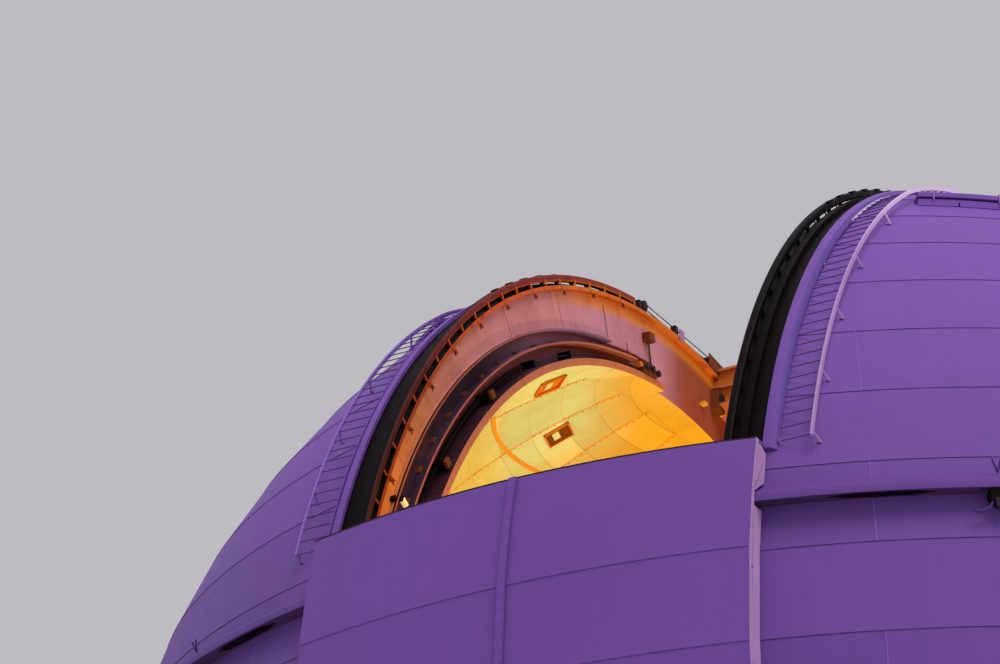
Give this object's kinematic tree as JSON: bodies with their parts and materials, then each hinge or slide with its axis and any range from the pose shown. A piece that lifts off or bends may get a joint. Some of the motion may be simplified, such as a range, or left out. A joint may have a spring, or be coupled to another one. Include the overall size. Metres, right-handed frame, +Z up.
{
  "type": "observatory dome on a round building",
  "caption": "Round building under a rotating ring-plated dome with an arched slit, an up-and-over main shutter, sliding front doors and ladders beside the slit.",
  "frame": {"origin": "on the ground at the building's vertical axis, on the underside of the ground slab", "axes": "+Z up, slit and entrance facing -Y, +X to the right seen from the front"},
  "size_m": [30.998, 31.84, 35.559],
  "materials": {
    "white_paint": "weathered white paint on steel plate",
    "wall_paint": "matt pale paint on ribbed cladding",
    "concrete": "rough grey concrete",
    "salmon_steel": "faded primer with rust streaks",
    "red_paint": "worn red paint",
    "dark_steel": "dark greased steel",
    "grey_steel": "grey paint on steel",
    "gold_lining": "yellow foil-faced boards, dusty",
    "door_paint": "satin grey door paint"
  },
  "bodies": {
    "building": {"ground_slab": "concrete", "wall_front_right": "wall_paint", "wall_front_left": "wall_paint", "wall_over_door": "wall_paint", "wall_right": "wall_paint", "wall_rear": "wall_paint", "wall_left": "wall_paint", "entrance_frame": "door_paint", "entrance_door": "door_paint", "wall_ring_beam": "concrete", "azimuth_rail": "dark_steel"},
    "dome": {"dome_ring_girder": "grey_steel", "skin_front_right": "white_paint", "skin_front_left": "white_paint", "skin_side_right": "white_paint", "skin_side_left": "white_paint", "skin_rear_right": "white_paint", "skin_rear_left": "white_paint", "skin_upper_right": "white_paint", "skin_upper_left": "white_paint", "skin_back": "white_paint", "lining_right": "gold_lining", "lining_left": "gold_lining", "lining_back": "gold_lining", "arch_girder_right": "salmon_steel", "arch_girder_left": "salmon_steel", "arch_guard_right": "red_paint", "arch_guard_left": "red_paint", "header_beam": "salmon_steel", "door_sill_track": "white_paint", "door_hood_right": "white_paint", "door_hood_left": "white_paint", "door_drive_right": "dark_steel", "door_drive_left": "dark_steel", "ladder_right": "white_paint", "ladder_left": "white_paint"},
    "shutter": {"shutter_skin_front": "white_paint", "shutter_skin_rear": "white_paint", "shutter_side_right": "grey_steel", "shutter_side_left": "grey_steel", "shutter_front_beam": "salmon_steel"},
    "right_door": {"front_door_right": "white_paint"},
    "left_door": {"front_door_left": "white_paint", "door_cover_strip": "white_paint"}
  },
  "joints": [
    {"name": "dome_rotation", "type": "hinge", "parent": "building", "child": "dome", "pos_m": [0, 0, 20], "axis": [0, 0, 1], "continuous": true},
    {"name": "shutter_travel", "type": "hinge", "parent": "dome", "child": "shutter", "pos_m": [0, 0, 20], "axis": [1, 0, 0], "range_deg": [0, 79.3]},
    {"name": "right_door_travel", "type": "hinge", "parent": "dome", "child": "right_door", "pos_m": [0, 0, 20], "axis": [0, 0, 1], "range_deg": [0, 12.8]},
    {"name": "left_door_travel", "type": "hinge", "parent": "dome", "child": "left_door", "pos_m": [0, 0, 20], "axis": [0, 0, -1], "range_deg": [0, 12.8]}
  ]
}
